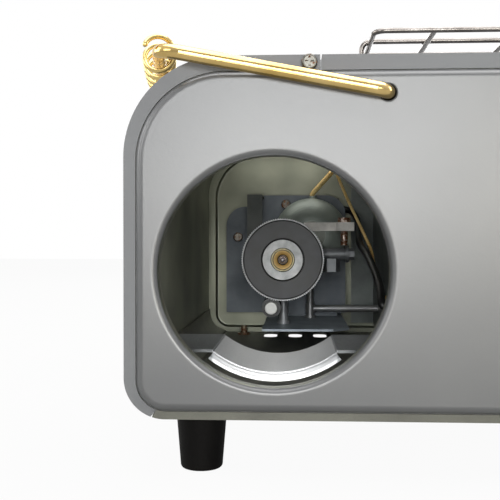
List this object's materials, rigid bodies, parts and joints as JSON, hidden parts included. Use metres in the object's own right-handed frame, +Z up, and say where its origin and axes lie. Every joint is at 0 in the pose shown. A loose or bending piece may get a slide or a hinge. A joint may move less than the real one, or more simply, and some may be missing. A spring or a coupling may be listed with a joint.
{
  "type": "portable gas heater",
  "caption": "Box-shaped portable gas heater with a round canister port in one end, a wire guard over its top and front, rubber feet and a folding bail handle with a coiled grip.",
  "frame": {"origin": "on the floor under the middle of the part's box, with the handle folded", "axes": "+X towards the radiant front, -Y towards the canister end, +Z up"},
  "size_m": [0.2062, 0.3042, 0.1615],
  "materials": {
    "cover_paint": "satin grey paint",
    "panel_paint": "satin light grey paint",
    "plain_steel": "dull zinc-plated sheet",
    "bright_steel": "bright stainless sheet",
    "chrome_wire": "polished",
    "gold_wire": "polished pale brass plating",
    "brass": "machined",
    "rubber": "matt",
    "black_plastic": "fine grained",
    "cast_alloy": "as cast",
    "rusty_steel": "tarnished",
    "pin_alloy": "turned",
    "plaque_ceramic": "porous matt",
    "white_ceramic": "glazed",
    "copper_lead": "drawn copper"
  },
  "bodies": {
    "case": {"rear_cover": "cover_paint", "front_cover": "cover_paint", "bottom_plate": "cover_paint", "canister_end_panel": "panel_paint", "control_end_panel": "panel_paint", "partition_wall": "plain_steel", "case_screws": "plain_steel", "rubber_feet": "rubber", "foot_screws": "rusty_steel", "foot_nuts": "rusty_steel", "guard_grille": "chrome_wire", "bail_bushes": "black_plastic", "canister_cradle": "bright_steel", "collar_disc": "plain_steel", "ring_magnet": "cast_alloy", "seat_ring": "brass", "nozzle_pin": "brass", "regulator_body": "cast_alloy", "diaphragm_dome": "cast_alloy", "lever_arm": "cast_alloy", "lever_screw": "rusty_steel", "outlet_fitting": "brass", "valve_mount_plate": "plain_steel", "plate_spacers": "plain_steel", "plate_screws": "plain_steel", "support_strap": "plain_steel", "shelf_bracket": "plain_steel", "shelf_post": "plain_steel", "release_socket": "black_plastic", "gas_pipe": "brass", "thermocouple_lead": "copper_lead", "ignition_lead": "rubber", "igniter_unit": "black_plastic", "spindle_bush": "brass", "burner_box": "plain_steel", "ceramic_plaque": "plaque_ceramic", "plaque_frame": "bright_steel", "reflector": "bright_steel", "gas_jet": "brass", "venturi_tube": "plain_steel", "sensor_bracket": "plain_steel", "ignition_electrode": "white_ceramic", "thermocouple_probe": "copper_lead"},
    "handle": {"handle_bail": "gold_wire", "handle_coil": "gold_wire", "push_nuts": "plain_steel"},
    "knob": {"control_knob": "black_plastic", "valve_spindle": "brass"},
    "release": {"release_pin": "pin_alloy"}
  },
  "joints": [
    {"name": "handle_swing", "type": "hinge", "parent": "case", "child": "handle", "pos_m": [-0.00889, -0.00855, 0.1297], "axis": [0, 1, 0], "range_deg": [0, 138]},
    {"name": "knob_turn", "type": "hinge", "parent": "case", "child": "knob", "pos_m": [-0.04689, 0.14145, 0.0702], "axis": [0, 1, 0], "range_deg": [0, 120]},
    {"name": "release_press", "type": "slide", "parent": "case", "child": "release", "axis": [0, 1, 0], "range_m": [0, 0.004], "stiffness_N_per_m": 200, "springref_m": -0.002}
  ]
}
